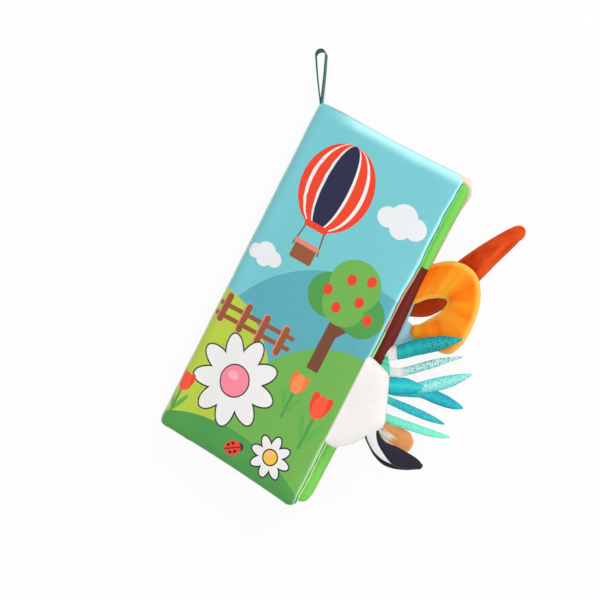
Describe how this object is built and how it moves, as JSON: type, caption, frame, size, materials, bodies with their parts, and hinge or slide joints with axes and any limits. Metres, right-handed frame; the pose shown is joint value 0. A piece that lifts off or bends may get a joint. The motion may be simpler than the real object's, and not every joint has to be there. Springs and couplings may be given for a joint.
{
  "type": "cloth tail book",
  "caption": "Soft padded cloth book lying closed on its back cover, with stuffed tails and ribbons sewn into its fore-edge and a hang loop at the spine.",
  "frame": {"origin": "on the back cover's flat outer face, midway between the spine and the front cover's fore-edge and midway up the book", "axes": "+Z out of the back cover through the closed book to the front cover, +X from the spine to the fore-edge, +Y to the top edge with the hang loop"},
  "size_m": [0.1964, 0.2648, 0.0467],
  "materials": {
    "sky_cloth": "printed satin-faced polyester",
    "salmon_cloth": "printed polyester",
    "maroon_cloth": "printed polyester",
    "leaf_green_cloth": "printed polyester",
    "light_blue_cloth": "printed polyester",
    "peach_cloth": "printed polyester",
    "white_cloth": "plain brushed polyester",
    "navy_cloth": "printed brushed polyester",
    "orange_velour": "short-pile velour",
    "coral_velour": "short-pile velour",
    "rust_velour": "short-pile velour",
    "ribbon": "ribbed ribbon with a glittering thread",
    "thread": "stitched seam roll",
    "foam": "soft sheet wadding",
    "filling": "polyester fibre filling",
    "crinkle_film": "thin crackling film"
  },
  "bodies": {
    "back_cover": {"back_cover_front_panel": "light_blue_cloth", "back_cover_film": "crinkle_film", "back_cover_foam": "foam", "back_cover_back_panel": "sky_cloth", "back_spine_wall": "sky_cloth", "spine_seam": "thread"},
    "rear_leaf": {"rear_leaf_front_panel": "light_blue_cloth", "rear_leaf_film": "crinkle_film", "rear_leaf_foam": "foam", "rear_leaf_back_panel": "peach_cloth", "rear_leaf_gutter": "light_blue_cloth"},
    "front_leaf": {"front_leaf_front_panel": "maroon_cloth", "front_leaf_film": "crinkle_film", "front_leaf_foam": "foam", "front_leaf_back_panel": "leaf_green_cloth", "front_leaf_gutter": "leaf_green_cloth"},
    "front_cover": {"front_cover_front_panel": "sky_cloth", "front_cover_film": "crinkle_film", "front_cover_foam": "foam", "front_cover_back_panel": "salmon_cloth", "front_spine_wall": "sky_cloth"},
    "flap": {"flap_front_cloth": "white_cloth", "flap_back_cloth": "white_cloth", "flap_filling": "filling", "tuft_cloth": "navy_cloth", "tuft_filling": "filling"},
    "ribbon_tail": {"ribbon_base": "ribbon", "ribbon_1": "ribbon", "ribbon_2": "ribbon", "ribbon_3": "ribbon", "ribbon_4": "ribbon", "ribbon_5": "ribbon", "ribbon_6": "ribbon", "ribbon_7": "ribbon"},
    "curl_tail": {"curl_tail_cloth": "orange_velour", "curl_tail_filling": "filling"},
    "small_tail": {"small_tail_cloth": "coral_velour", "small_tail_filling": "filling"},
    "straight_tail": {"straight_tail_cloth": "rust_velour", "straight_tail_filling": "filling"},
    "loop": {"hang_loop": "ribbon"}
  },
  "joints": [
    {"name": "front_cover_turn", "type": "hinge", "parent": "back_cover", "child": "front_cover", "pos_m": [-0.05725, 0, 0.01405], "axis": [0, -1, 0], "range_deg": [0, 170]},
    {"name": "front_leaf_turn", "type": "hinge", "parent": "back_cover", "child": "front_leaf", "pos_m": [-0.05725, 0, 0.01405], "axis": [0, -1, 0], "range_deg": [0, 113.5]},
    {"name": "rear_leaf_turn", "type": "hinge", "parent": "back_cover", "child": "rear_leaf", "pos_m": [-0.05725, 0, 0.01405], "axis": [0, -1, 0], "range_deg": [0, 57]},
    {"name": "flap_lift", "type": "hinge", "parent": "front_cover", "child": "flap", "pos_m": [0.05539, -0.03925, 0.03721], "axis": [0, -1, 0], "range_deg": [0, 60]},
    {"name": "ribbon_wag", "type": "hinge", "parent": "front_leaf", "child": "ribbon_tail", "pos_m": [0.05868, -0.021, 0.02613], "axis": [-0.0733, 0, 0.9973], "range_deg": [-8, 8], "stiffness_Nm_per_rad": 0.02},
    {"name": "curl_tail_wag", "type": "hinge", "parent": "rear_leaf", "child": "curl_tail", "pos_m": [0.0568, 0.048, 0.01468], "axis": [-0.0367, 0, 0.9993], "range_deg": [-5, 8], "stiffness_Nm_per_rad": 0.02},
    {"name": "small_tail_wag", "type": "hinge", "parent": "rear_leaf", "child": "small_tail", "pos_m": [0.0568, -0.0475, 0.01468], "axis": [-0.0367, 0, 0.9993], "range_deg": [-8, 8], "stiffness_Nm_per_rad": 0.02},
    {"name": "straight_tail_wag", "type": "hinge", "parent": "back_cover", "child": "straight_tail", "pos_m": [0.05435, 0.021, 0.0034], "axis": [0, 0, 1], "range_deg": [-25, 0], "stiffness_Nm_per_rad": 0.02},
    {"name": "loop_swing", "type": "hinge", "parent": "back_cover", "child": "loop", "pos_m": [-0.05725, 0.119, 0.01405], "axis": [0, 0, 1], "range_deg": [-60, 45], "stiffness_Nm_per_rad": 0.002}
  ],
  "couplings": [
    {"joint": "front_leaf_turn", "follows": "front_cover_turn", "ratio": 0.66667},
    {"joint": "rear_leaf_turn", "follows": "front_cover_turn", "ratio": 0.33333}
  ]
}
